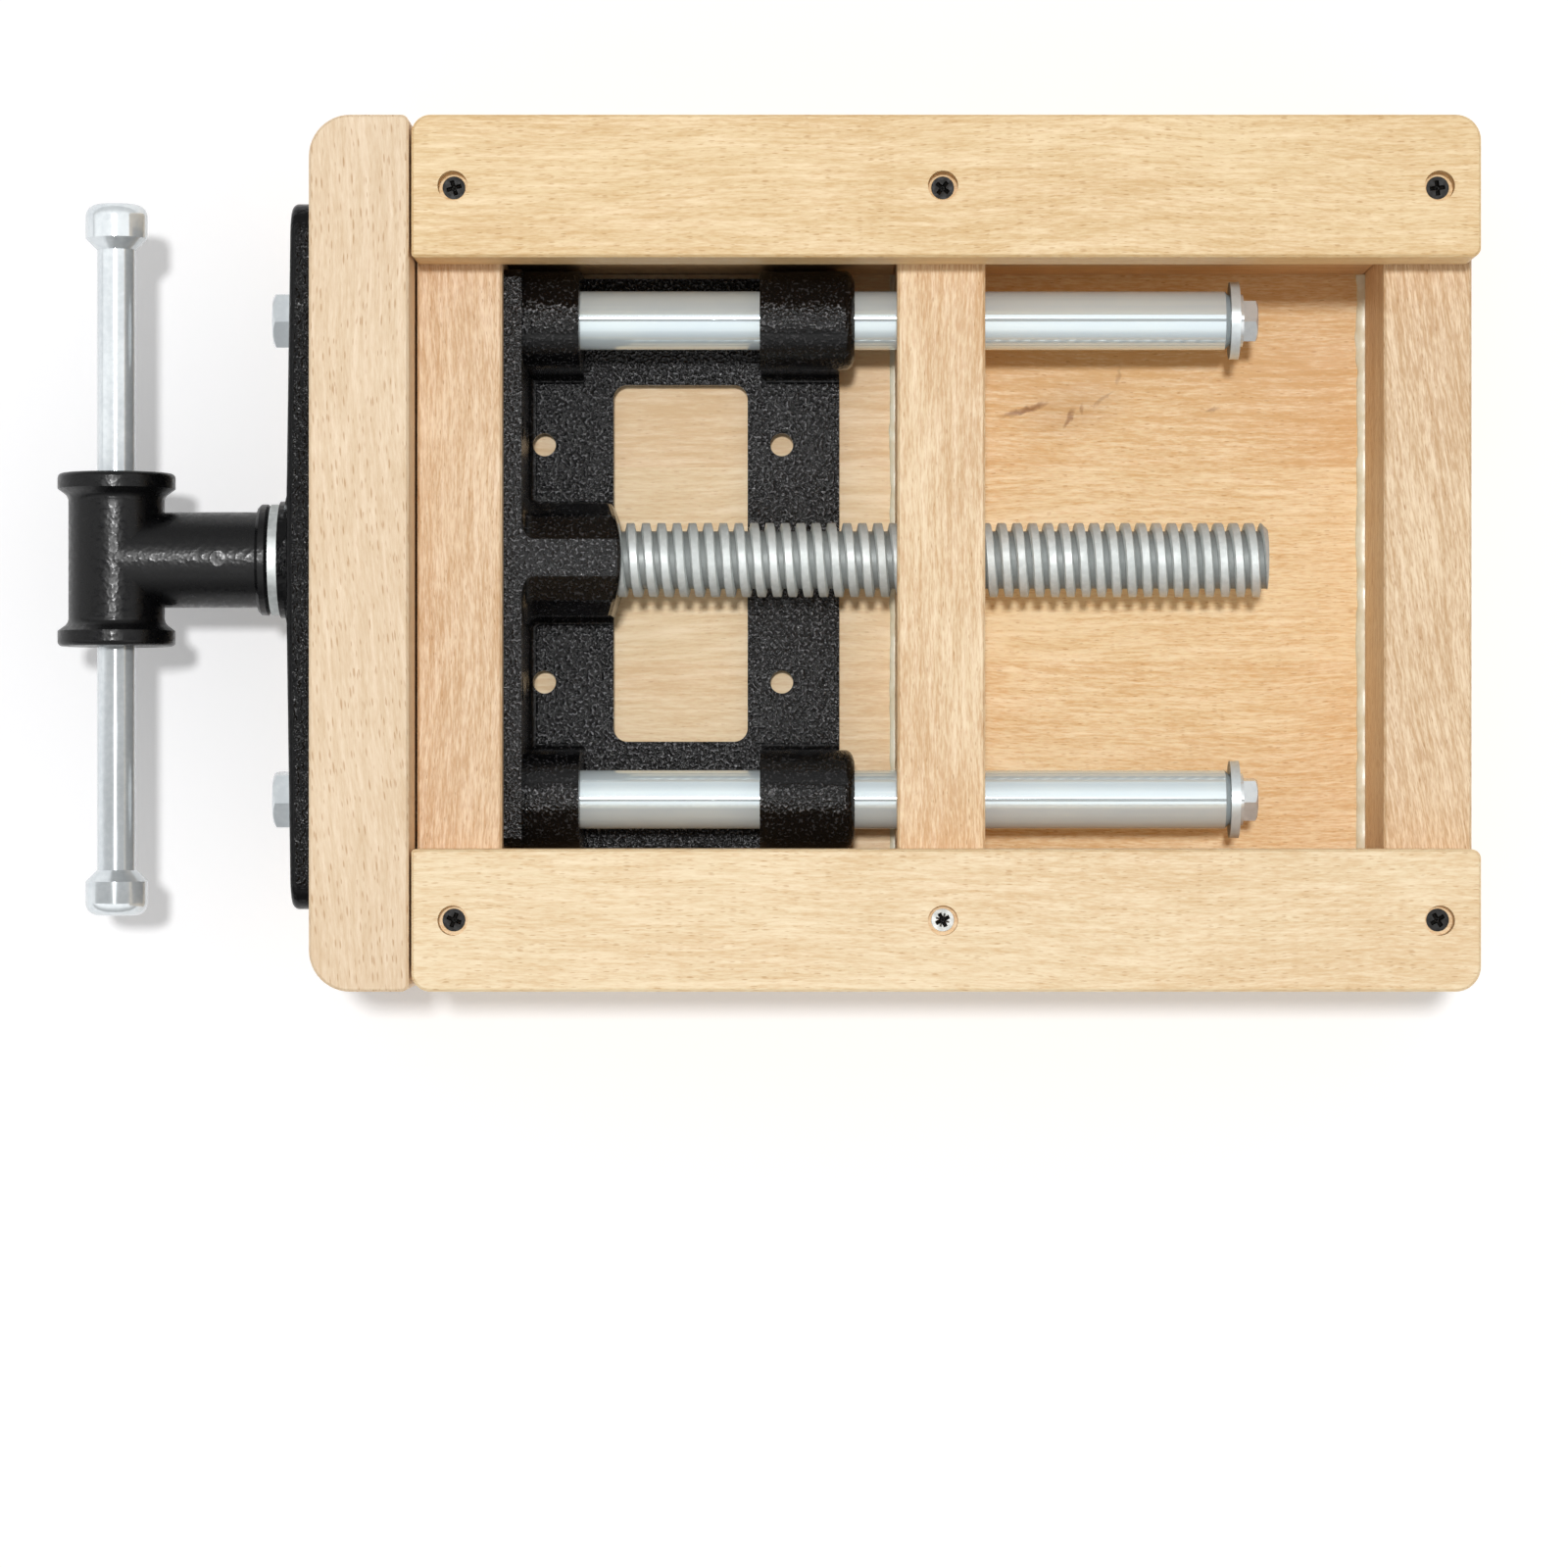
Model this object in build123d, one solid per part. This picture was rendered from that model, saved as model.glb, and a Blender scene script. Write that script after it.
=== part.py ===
from build123d import *
import os

# A woodworking screw vise in a portable beech box, stored as it lies on its work surface with the
# underside up. The origin is the middle of the work surface. +Z points up, out of the underside,
# and +X runs from the moving jaw to the rear of the box. All sizes are in millimetres.

# Driving sizes of the wooden box
board_thickness = 20.0
front_rail_thickness = 27.0
cross_rail_thickness = 28.0
rail_over_casting = 8.0
foot_rail_thickness = 25.0
foot_rail_width = 44.75
side_block_width = 42.25
front_corner_radius = 6.0
rear_corner_radius = 8.0
rear_inner_corner_radius = 3.0
edge_ease = 1.2
arris = 0.8

# Driving sizes of the moving jaw
jaw_thickness = 31.4
jaw_gap = 0.8
jaw_corner_radius = 13.0
jaw_face_ease = 2.5

# Driving sizes of the guide rods, the screw and the travel
axis_height = 34.0
rod_offset = 77.5
rod_diameter = 19.0
rod_end_chamfer = 1.5
screw_diameter = 24.0
screw_end_chamfer = 2.0
thread_pitch = 5.0
opening_turns = 24
stop_spare = 1.2
screw_overrun = 12.3
shank_diameter = 18.0
thread_start = 2.0

# Driving sizes of the cast vise body
flange_thickness = 5.8
flange_side_inset = 1.0
flange_corner_radius = 3.0
base_thickness = 7.0
base_length = 101.8
rod_boss_wall = 6.5
front_boss_length = 18.0
rear_boss_length = 30.5
rear_boss_overhang = 4.9
rear_boss_round_length = 3.0
rear_boss_round_width = 5.0
nut_boss_length = 31.7
nut_boss_top_width = 12.0
nut_boss_shoulder_width = 28.0
nut_boss_shoulder_drop = 7.0
nut_boss_side_drop = 16.0
nut_boss_wall = 6.0
nut_boss_rise = 20.0
nut_boss_fillet = 4.0
nut_boss_end_radius = 46.0
boss_foot_fillet = 3.0
casting_edge = 1.0
front_web_length = 27.6
rear_web_length = 30.1
window_to_rod_axis = 18.9
window_corner_radius = 4.5
front_hole_setback = 4.9
rear_hole_setback = 18.9
bolt_hole_spacing = 78.0
bolt_hole_diameter = 7.5

# Driving sizes of the front plate
plate_width = 225.0
plate_height = 70.0
plate_end_thickness = 7.6
plate_middle_thickness = 9.2
plate_corner_radius = 10.0
plate_edge_radius = 2.2
plate_boss_diameter = 44.0
plate_boss_height = 4.6
plate_boss_step = 2.4
plate_boss_step_inset = 3.0
spot_face_depth = 0.6

# Driving sizes of the screw hub and its handle
hub_distance = 99.4
hub_diameter = 31.0
hub_width = 56.0
hub_flange_rise = 3.5
hub_flange_thickness = 5.0
hub_flange_taper = 2.6
hub_edge = 1.0
hub_lip_radius = 1.6
hub_flare_radius = 3.0
neck_collar_rise = 2.5
neck_collar_thickness = 4.0
shank_depth_in_hub = 30.0
hub_pin_diameter = 5.0
hub_pin_setback = 16.0
bar_diameter = 12.5
bar_length = 230.0
knob_diameter = 20.0
knob_length = 15.0
knob_socket_depth = 9.0
knob_round = 4.0

# Driving sizes of washers, rings and fasteners
thrust_washer_width = 9.0
thrust_washer_thickness = 3.0
backing_washer_width = 7.5
backing_washer_thickness = 2.0
ring_width = 4.0
ring_thickness = 1.6
ring_groove_depth = 0.9
ring_mouth = 8.0
jaw_pocket_depth = 9.0
plate_bolt_diameter = 10.0
plate_bolt_grip_in_rod = 20.0
plate_bolt_head_width = 17.0
plate_bolt_head_height = 6.4
plate_bolt_washer_diameter = 23.0
plate_bolt_washer_thickness = 2.0
head_crown_share = 0.93
head_turn = 7.0
end_bolt_diameter = 8.0
end_bolt_grip_in_rod = 18.0
end_bolt_head_width = 13.0
end_bolt_head_height = 4.8
end_bolt_flange_height = 1.3
end_bolt_flange_diameter = 17.0
end_washer_diameter = 25.0
end_washer_thickness = 3.0
foot_screw_head_diameter = 7.1
foot_screw_head_height = 3.0
foot_screw_diameter = 4.0
foot_screw_length = 42.0
foot_screw_recess_diameter = 9.5
foot_screw_recess_depth = 6.6
foot_screw_end_setback = 13.0
flange_screw_diameter = 8.0
flange_screw_head_diameter = 15.0
flange_screw_head_height = 4.4
flange_screw_sink = 1.0
flange_screw_offset = 42.0
flange_screw_spacing = 26.0
plate_screw_diameter = 5.0
plate_screw_head_diameter = 10.0
plate_screw_head_height = 3.0
plate_screw_length = 28.0
plate_screw_offset = 46.0
plate_screw_spacing = 40.0
screw_point_length = 4.0

# Named clearances, each measured on the radius or along the axis
running_clearance = 0.05
sliding_clearance = 0.08
fit_clearance = 0.10
end_play = 0.15
rod_hole_clearance = 1.5
washer_pass_clearance = 1.5
screw_hole_clearance = 3.0
shank_hole_clearance = 1.0
washer_hole_clearance = 0.3
pocket_clearance = 2.5
casting_side_gap = 2.0
crossbar_gap = 13.5
screw_end_gap = 35.0

# Widths and heights that follow from what they hold or cover
rod_boss_diameter = rod_diameter + 2 * rod_boss_wall
nut_boss_width = screw_diameter + 2 * nut_boss_wall
casting_half_width = rod_offset + rod_boss_diameter / 2
flange_width = 2 * (casting_half_width - flange_side_inset)
flange_height = axis_height + nut_boss_rise
rail_height = flange_height + rail_over_casting
hub_flange_diameter = hub_diameter + 2 * hub_flange_rise
neck_collar_diameter = hub_diameter + 2 * neck_collar_rise
thrust_washer_diameter = shank_diameter + 2 * thrust_washer_width
backing_washer_diameter = shank_diameter + 2 * backing_washer_width
jaw_pocket_diameter = backing_washer_diameter + 2 * pocket_clearance
ring_diameter = shank_diameter + 2 * ring_width
plate_boss_step_diameter = plate_boss_diameter - 2 * plate_boss_step_inset

# Distances behind the clamping plane, which settle the length of the box
opening = opening_turns * thread_pitch
rear_boss_reach = front_rail_thickness + flange_thickness + base_length + rear_boss_overhang
rod_reach = rear_boss_reach + opening + stop_spare
screw_reach = rod_reach + screw_overrun
frame_length = screw_reach + screw_end_gap + cross_rail_thickness

# Places worked out from the driving sizes
jaw_plane = -frame_length / 2
rear_face = frame_length / 2
side_block_inner = casting_half_width + casting_side_gap
half_width = side_block_inner + side_block_width
board_top = board_thickness
rail_top = board_top + rail_height
box_top = rail_top + foot_rail_thickness
axis_z = board_top + axis_height

rail_back = jaw_plane + front_rail_thickness
crossbar_front = jaw_plane + rear_boss_reach + crossbar_gap
crossbar_back = crossbar_front + cross_rail_thickness
rear_rail_front = rear_face - cross_rail_thickness
foot_rail_inner = half_width - foot_rail_width

flange_back = rail_back + flange_thickness
base_end = flange_back + base_length
base_top = board_top + base_thickness
front_boss_end = flange_back + front_boss_length
rear_boss_end = jaw_plane + rear_boss_reach
rear_boss_start = rear_boss_end - rear_boss_length
nut_boss_end = flange_back + nut_boss_length

jaw_back = jaw_plane - jaw_gap
jaw_front = jaw_back - jaw_thickness
plate_front = jaw_front - plate_middle_thickness
plate_boss_face = plate_front - plate_boss_height
thrust_face = plate_boss_face - thrust_washer_thickness
hub_face = thrust_face - end_play
hub_x = jaw_plane - hub_distance

rod_end = jaw_plane + rod_reach
screw_end = jaw_plane + screw_reach

rod_radius = rod_diameter / 2
screw_radius = screw_diameter / 2
shank_radius = shank_diameter / 2
bar_radius = bar_diameter / 2
hub_radius = hub_diameter / 2
sides = (-1, 1)
touching = 0.01


def box_between(x_span, y_span, z_span):
    """A box between two planes along each axis."""
    spans = (x_span, y_span, z_span)
    sizes = [high - low for low, high in spans]
    return Pos(*[low for low, high in spans]) * Box(*sizes, align=(Align.MIN, Align.MIN, Align.MIN))


def rod_x(x_start, x_end, radius, y=0.0, z=axis_z):
    """A round bar along X."""
    bar = Cylinder(radius, x_end - x_start, align=(Align.CENTER, Align.CENTER, Align.MIN))
    return Pos(x_start, y, z) * Rot(0, 90, 0) * bar


def rod_y(y_start, y_end, radius, x=hub_x, z=axis_z):
    """A round bar along Y."""
    bar = Cylinder(radius, y_end - y_start, align=(Align.CENTER, Align.CENTER, Align.MIN))
    return Pos(x, y_start, z) * Rot(-90, 0, 0) * bar


def rod_z(z_start, z_end, radius, x, y):
    """A round bar along Z."""
    bar = Cylinder(radius, z_end - z_start, align=(Align.CENTER, Align.CENTER, Align.MIN))
    return Pos(x, y, z_start) * bar


def ring_x(x_start, x_end, outer_radius, inner_radius, y=0.0):
    """A flat ring round an axis along X."""
    return rod_x(x_start, x_end, outer_radius, y) - rod_x(x_start, x_end, inner_radius, y)


def board(x_span, y_span, z_span, corner_radii):
    """A planed board. Its upright edges take the radii given from (-X,-Y) round to (-X,+Y)."""
    x_low, x_high = x_span
    y_low, y_high = y_span
    corners = ((x_low, y_low), (x_high, y_low), (x_high, y_high), (x_low, y_high))
    middle = Pos((x_low + x_high) / 2, (y_low + y_high) / 2)
    plan = middle * Rectangle(x_high - x_low, y_high - y_low)
    for (x, y), radius in zip(corners, corner_radii):
        plan = fillet(plan.vertices().sort_by_distance(Vector(x, y, 0))[0], radius)
    blank = extrude(Pos(0, 0, z_span[0]) * plan, z_span[1] - z_span[0])
    layers = blank.edges().group_by(Axis.Z)
    return chamfer(layers[0] + layers[-1], arris)


def along_both_rods(piece_at):
    """The same piece on the left and on the right rod, as one group of separate solids."""
    return Compound(children=[piece_at(side * rod_offset) for side in sides])


# Wooden box

def work_board():
    radii = (front_corner_radius, rear_corner_radius, rear_corner_radius, front_corner_radius)
    return board((jaw_plane, rear_face), (-half_width, half_width), (0, board_top), radii)


def flange_screw_places():
    """The Y and Z of the four screws that hold the casting to the front rail."""
    heights = (axis_z - flange_screw_spacing / 2, axis_z + flange_screw_spacing / 2)
    return [(side * flange_screw_offset, z) for side in sides for z in heights]


def front_rail():
    radii = (front_corner_radius, edge_ease, edge_ease, front_corner_radius)
    rail = board((jaw_plane, rail_back), (-half_width, half_width), (board_top, rail_top), radii)
    for side in sides:
        rail -= rod_x(jaw_plane, rail_back, rod_radius + rod_hole_clearance, side * rod_offset)
    rail -= rod_x(jaw_plane, rail_back, screw_radius + screw_hole_clearance)
    for y, z in flange_screw_places():
        rail -= flange_screw(y, z, fit_clearance)
    return rail


def crossbar():
    radii = (edge_ease,) * 4
    bar = board((crossbar_front, crossbar_back), (-half_width, half_width), (board_top, rail_top), radii)
    washer_hole_radius = end_washer_diameter / 2 + washer_pass_clearance
    for side in sides:
        bar -= rod_x(crossbar_front, crossbar_back, washer_hole_radius, side * rod_offset)
    return bar - rod_x(crossbar_front, crossbar_back, screw_radius + screw_hole_clearance)


def rear_rail():
    radii = (edge_ease, rear_corner_radius, rear_corner_radius, edge_ease)
    return board((rear_rail_front, rear_face), (-half_width, half_width), (board_top, rail_top), radii)


def side_block(x_span, side):
    """A block that closes one bay of the box on one side, flush with the outside."""
    y_span = sorted((side * side_block_inner, side * half_width))
    return board(x_span, y_span, (board_top, rail_top), (edge_ease,) * 4)


def foot_screw_places():
    """The X of the three screws along a foot rail, one over each cross-member."""
    crossbar_middle = (crossbar_front + crossbar_back) / 2
    return (jaw_plane + foot_screw_end_setback, crossbar_middle, rear_face - foot_screw_end_setback)


foot_rail_middle = half_width - foot_rail_width / 2
foot_screw_top = box_top - foot_screw_recess_depth


def foot_rail(side):
    if side > 0:
        radii = (edge_ease, rear_inner_corner_radius, rear_corner_radius, front_corner_radius)
    else:
        radii = (front_corner_radius, rear_corner_radius, rear_inner_corner_radius, edge_ease)
    y_span = sorted((side * foot_rail_inner, side * half_width))
    rail = board((jaw_plane, rear_face), y_span, (rail_top, box_top), radii)
    for x in foot_screw_places():
        y = side * foot_rail_middle
        rail -= rod_z(foot_screw_top, box_top, foot_screw_recess_diameter / 2, x, y)
        rail -= foot_screw(x, y, fit_clearance)
    return rail


def with_foot_screw_holes(rail, x):
    """Bores the pilot holes of the two foot-rail screws into a cross-member."""
    for side in sides:
        rail -= foot_screw(x, side * foot_rail_middle, fit_clearance)
    return rail


# Fasteners

def countersunk_screw(head_radius, head_height, radius, length):
    """A plain countersunk screw along -Z from the top of its head, at the origin."""
    point_start = length - screw_point_length
    outline = Polyline(
        (0, 0),
        (head_radius, 0),
        (radius, -head_height),
        (radius, -point_start),
        (0, -length),
        close=True,
    )
    return revolve(Plane.XZ * make_face(outline), Axis.Z)


def foot_screw(x, y, clearance=0.0):
    head_radius = foot_screw_head_diameter / 2 + clearance
    radius = foot_screw_diameter / 2 + clearance
    screw = countersunk_screw(head_radius, foot_screw_head_height, radius, foot_screw_length + clearance)
    return Pos(x, y, foot_screw_top) * screw


def flange_screw(y, z, clearance=0.0):
    """A countersunk machine screw from the clamping face into the tapped flange."""
    head = jaw_plane + flange_screw_sink
    head_radius = flange_screw_head_diameter / 2 + clearance
    radius = flange_screw_diameter / 2 + clearance
    outline = Polyline(
        (0, 0),
        (head_radius, 0),
        (radius, flange_screw_head_height),
        (radius, flange_back - head),
        (0, flange_back - head),
        close=True,
    )
    screw = revolve(Plane.XZ * make_face(outline), Axis.Z)
    seat = Pos(head, y, z) * Rot(0, 90, 0)
    if clearance:
        screw += extrude(Circle(head_radius), -flange_screw_sink)
    return seat * screw


def flange_screws():
    return Compound(children=[flange_screw(y, z) for y, z in flange_screw_places()])


def plate_screw_places():
    """The Y and Z of the four screws that hold the front plate to the jaw block."""
    heights = (axis_z - plate_screw_spacing / 2, axis_z + plate_screw_spacing / 2)
    return [(side * plate_screw_offset, z) for side in sides for z in heights]


def plate_front_at(y):
    """The X of the tapered front face of the plate at a distance y from its middle."""
    taper = (plate_middle_thickness - plate_end_thickness) / (plate_width / 2)
    return plate_front + taper * abs(y)


def plate_screw(y, z, clearance=0.0):
    head_radius = plate_screw_head_diameter / 2 + clearance
    radius = plate_screw_diameter / 2 + clearance
    length = plate_screw_length + clearance
    screw = countersunk_screw(head_radius, plate_screw_head_height, radius, length)
    seat = plate_front_at(abs(y) - head_radius)
    if clearance:
        screw += extrude(Circle(head_radius), plate_screw_head_height)
    return Pos(seat + fit_clearance, y, z) * Rot(0, -90, 0) * screw


def plate_screws():
    return Compound(children=[plate_screw(y, z) for y, z in plate_screw_places()])


def hexagon_head(seat, crown, width_across_flats, y):
    """A hexagonal head along X from its seat to its crown, whose corners are turned off."""
    outward = 1 if crown > seat else -1
    corner_radius = width_across_flats / 3**0.5
    crown_radius = head_crown_share * width_across_flats / 2
    shoulder = crown - outward * (corner_radius - crown_radius) / 3**0.5
    outline = Polyline(
        (seat, 0),
        (seat, corner_radius),
        (shoulder, corner_radius),
        (crown, crown_radius),
        (crown, 0),
        close=True,
    )
    blank = Pos(0, y, axis_z) * revolve(make_face(outline), Axis.X)
    flats = RegularPolygon(width_across_flats / 2, 6, major_radius=False, rotation=90 + head_turn)
    seat_plane = Plane.YZ.offset(seat) * Pos(y, axis_z)
    return blank & extrude(seat_plane * flats, crown - seat)


# Cast vise body

def corner_at(profile, y, z):
    """The corner of a section that lies nearest to a point."""
    return profile.vertices().sort_by_distance(Vector(y, z, 0))[0]


def arch_profile(side):
    """The section of a rod boss: a round top on straight legs, flared into the base inside."""
    radius = rod_boss_diameter / 2
    foot_top = base_thickness - axis_height
    leg = Pos(0, -axis_height / 2) * Rectangle(2 * radius, axis_height)
    foot_width = radius + 2 * boss_foot_fillet
    foot_middle = Pos(-side * foot_width / 2, foot_top - base_thickness / 2)
    profile = Circle(radius) + leg + foot_middle * Rectangle(foot_width, base_thickness)
    return fillet(corner_at(profile, -side * radius, foot_top), boss_foot_fillet)


def rod_boss(x_start, x_end, side):
    """A rod boss standing on the base plate."""
    seat = Plane.YZ.offset(x_start) * Pos(side * rod_offset, axis_z)
    return extrude(seat * arch_profile(side), x_end - x_start)


def rear_boss_nose(side):
    """The part of a rear boss that overhangs the base plate, with its rounded end."""
    radius = rod_boss_diameter / 2
    face_radius = radius - rear_boss_round_width
    round_start = rear_boss_end - rear_boss_round_length
    outline = Curve() + [
        Polyline((rear_boss_end, face_radius), (rear_boss_end, 0), (base_end, 0), (base_end, radius)),
        Line((base_end, radius), (round_start, radius)),
        EllipticalCenterArc(
            (round_start, face_radius), rear_boss_round_length, rear_boss_round_width, arc_size=90
        ),
    ]
    return Pos(0, side * rod_offset, axis_z) * revolve(make_face(outline), Axis.X)


def nut_boss_profile():
    """The five-sided section of the boss round the screw, about the screw's axis."""
    top = flange_height - axis_height
    half_top = nut_boss_top_width / 2
    half_shoulder = nut_boss_shoulder_width / 2
    half_side = nut_boss_width / 2
    shoulder_top = top - nut_boss_shoulder_drop
    half_outline = [
        (half_top, top),
        (half_shoulder, shoulder_top),
        (half_side, top - nut_boss_side_drop),
        (half_side, -axis_height),
    ]
    other_half = [(-y, z) for y, z in reversed(half_outline)]
    profile = make_face(Polyline(*half_outline, *other_half, close=True))
    for side in sides:
        profile = fillet(corner_at(profile, side * half_shoulder, shoulder_top), nut_boss_fillet)
    return profile


def nut_boss_feet(body):
    """The two edges along which the sides of the nut boss stand on the base plate."""
    feet = []
    for side in sides:
        foot_middle = Vector((flange_back + nut_boss_end) / 2, side * nut_boss_width / 2, base_top)
        feet.append(body.edges().filter_by(Axis.X).sort_by_distance(foot_middle)[0])
    return feet


def flange_with_nut_boss():
    """The front flange and the nut boss, which flow into each other along a fillet."""
    outline = Pos(0, board_top + flange_height / 2) * Rectangle(flange_width, flange_height)
    for side in sides:
        top_corner = corner_at(outline, side * flange_width / 2, board_top + flange_height)
        outline = fillet(top_corner, flange_corner_radius)
    flange = extrude(Plane.YZ.offset(rail_back) * outline, flange_thickness)
    seat = Plane.YZ.offset(flange_back) * Pos(0, axis_z)
    flange_top = board_top + flange_height
    boss = extrude(seat * nut_boss_profile(), nut_boss_length)
    boss &= rod_z(board_top, flange_top, nut_boss_end_radius, nut_boss_end - nut_boss_end_radius, 0)
    end_face = boss.faces().sort_by(Axis.X)[-1]
    end_rim = [edge for edge in end_face.edges() if edge.center().Z > axis_z]
    joined = flange + chamfer(end_rim, casting_edge)
    roots = joined.edges().filter_by_position(Axis.X, flange_back - touching, flange_back + touching)
    inner_roots = [edge for edge in roots if abs(edge.center().Y) < nut_boss_width / 2 + touching]
    side_roots = [edge for edge in inner_roots if edge.center().Z < flange_top - touching]
    return fillet(side_roots, nut_boss_fillet)


def vise_body():
    """The cast body: front flange, windowed base plate, four rod bosses and the nut boss."""
    base_y = (-casting_half_width, casting_half_width)
    body = flange_with_nut_boss()
    body += box_between((flange_back, base_end), base_y, (board_top, base_top))
    body = fillet(nut_boss_feet(body), boss_foot_fillet)
    for side in sides:
        body += rod_boss(flange_back, front_boss_end, side)
        body += rod_boss(rear_boss_start, base_end, side) + rear_boss_nose(side)
    body -= base_window()
    for x in (flange_back + front_hole_setback, base_end - rear_hole_setback):
        for side in sides:
            y = side * bolt_hole_spacing / 2
            body -= rod_z(board_top, base_top + boss_foot_fillet, bolt_hole_diameter / 2, x, y)
    for side in sides:
        y = side * rod_offset
        body -= rod_x(rail_back, rear_boss_end, rod_radius + running_clearance, y)
    body -= rod_x(rail_back, nut_boss_end, screw_radius + running_clearance)
    for y, z in flange_screw_places():
        body -= rod_x(rail_back, flange_back, flange_screw_diameter / 2 + fit_clearance, y, z)
    return body


def base_window():
    """The rectangular window in the base plate, as the solid that is cut out."""
    window_start = flange_back + front_web_length
    window_length = base_length - front_web_length - rear_web_length
    window_width = 2 * (rod_offset - window_to_rod_axis)
    middle = Pos(window_start + window_length / 2, 0, board_top)
    outline = RectangleRounded(window_length, window_width, window_corner_radius)
    return extrude(middle * outline, base_thickness)


# Moving jaw

def jaw_block():
    radii = (jaw_corner_radius, jaw_face_ease, jaw_face_ease, jaw_corner_radius)
    block = board((jaw_front, jaw_back), (-half_width, half_width), (0, box_top), radii)
    for side in sides:
        block -= rod_x(jaw_front, jaw_back, rod_radius + fit_clearance, side * rod_offset)
    block -= rod_x(jaw_front, jaw_back, shank_radius + shank_hole_clearance)
    block -= rod_x(jaw_front, jaw_front + jaw_pocket_depth, jaw_pocket_diameter / 2)
    for y, z in plate_screw_places():
        block -= plate_screw(y, z, fit_clearance)
    return block


def front_plate():
    """The cast plate on the jaw, tapered from its middle to its ends, with a stepped boss."""
    half_plate = plate_width / 2
    plan = Polyline(
        (jaw_front, -half_plate),
        (jaw_front, half_plate),
        (jaw_front - plate_end_thickness, half_plate),
        (plate_front, 0),
        (jaw_front - plate_end_thickness, -half_plate),
        close=True,
    )
    low = axis_z - plate_height / 2
    plate = extrude(Pos(0, 0, low) * make_face(plan), plate_height)
    end_edges = plate.edges().filter_by(Axis.X)
    plate = fillet(end_edges, plate_corner_radius)
    front_edges = [edge for edge in plate.edges() if edge.center().X < jaw_front - plate_edge_radius]
    rim = [edge for edge in front_edges if abs(edge.center().Y) > plate_edge_radius]
    plate = fillet(rim, plate_edge_radius)
    plate += rod_x(plate_boss_face + plate_boss_step, jaw_front, plate_boss_diameter / 2)
    plate += rod_x(plate_boss_face, jaw_front, plate_boss_step_diameter / 2)
    plate -= rod_x(plate_boss_face, jaw_front, shank_radius + running_clearance)
    for side in sides:
        y = side * rod_offset
        seat = plate_bolt_seat()
        plate -= rod_x(plate_front, seat, plate_bolt_washer_diameter / 2 + washer_hole_clearance, y)
        plate -= rod_x(plate_front, jaw_front, plate_bolt_diameter / 2 + fit_clearance, y)
    for y, z in plate_screw_places():
        plate -= plate_screw(y, z, fit_clearance)
    return plate


def plate_bolt_seat():
    """The X of the spot-faced seat under the washer of a rod bolt."""
    return plate_front_at(rod_offset - plate_bolt_washer_diameter / 2) + spot_face_depth


def guide_rod(side):
    """A guide rod, butted against the plate, drilled at both ends for its bolts."""
    y = side * rod_offset
    rod = rod_x(jaw_front, rod_end, rod_radius, y)
    rod = chamfer(rod.edges().filter_by(GeomType.CIRCLE), rod_end_chamfer)
    rod -= rod_x(jaw_front, jaw_front + plate_bolt_grip_in_rod, plate_bolt_diameter / 2 + fit_clearance, y)
    return rod - rod_x(rod_end - end_bolt_grip_in_rod, rod_end, end_bolt_diameter / 2 + fit_clearance, y)


def plate_bolt(y):
    washer_face = plate_bolt_seat() - plate_bolt_washer_thickness
    head = hexagon_head(washer_face, washer_face - plate_bolt_head_height, plate_bolt_head_width, y)
    shank_end = jaw_front + plate_bolt_grip_in_rod - fit_clearance
    return head + rod_x(washer_face, shank_end, plate_bolt_diameter / 2, y)


def plate_bolt_washer(y):
    seat = plate_bolt_seat()
    hole_radius = plate_bolt_diameter / 2 + washer_hole_clearance
    return ring_x(seat - plate_bolt_washer_thickness, seat, plate_bolt_washer_diameter / 2, hole_radius, y)


def end_washer(y):
    hole_radius = end_bolt_diameter / 2 + washer_hole_clearance
    return ring_x(rod_end, rod_end + end_washer_thickness, end_washer_diameter / 2, hole_radius, y)


def end_bolt(y):
    """The flanged bolt that holds the stop washer on the rear end of a rod."""
    flange_face = rod_end + end_washer_thickness
    head_start = flange_face + end_bolt_flange_height
    head = hexagon_head(flange_face, head_start + end_bolt_head_height, end_bolt_head_width, y)
    flange = rod_x(flange_face, head_start, end_bolt_flange_diameter / 2, y)
    shank_start = rod_end - end_bolt_grip_in_rod + fit_clearance
    return head + flange + rod_x(shank_start, flange_face, end_bolt_diameter / 2, y)


def thrust_washer():
    hole_radius = shank_radius + washer_hole_clearance
    return ring_x(thrust_face, plate_boss_face, thrust_washer_diameter / 2, hole_radius)


def backing_washer():
    hole_radius = shank_radius + washer_hole_clearance
    washer_end = jaw_front + backing_washer_thickness
    return ring_x(jaw_front, washer_end, backing_washer_diameter / 2, hole_radius)


# Screw and hub

ring_start = jaw_front + backing_washer_thickness + end_play
ring_end = ring_start + ring_thickness
groove_radius = shank_radius - ring_groove_depth
shank_end_in_hub = hub_face - shank_depth_in_hub
hub_pin_x = hub_face - hub_pin_setback


def retaining_ring():
    """The open spring ring in the groove of the shank, behind the front plate."""
    ring = ring_x(ring_start, ring_end, ring_diameter / 2, groove_radius + fit_clearance)
    mouth_top = axis_z + ring_diameter
    mouth = box_between((ring_start, ring_end), (-ring_mouth / 2, ring_mouth / 2), (axis_z, mouth_top))
    return ring - mouth


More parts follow.
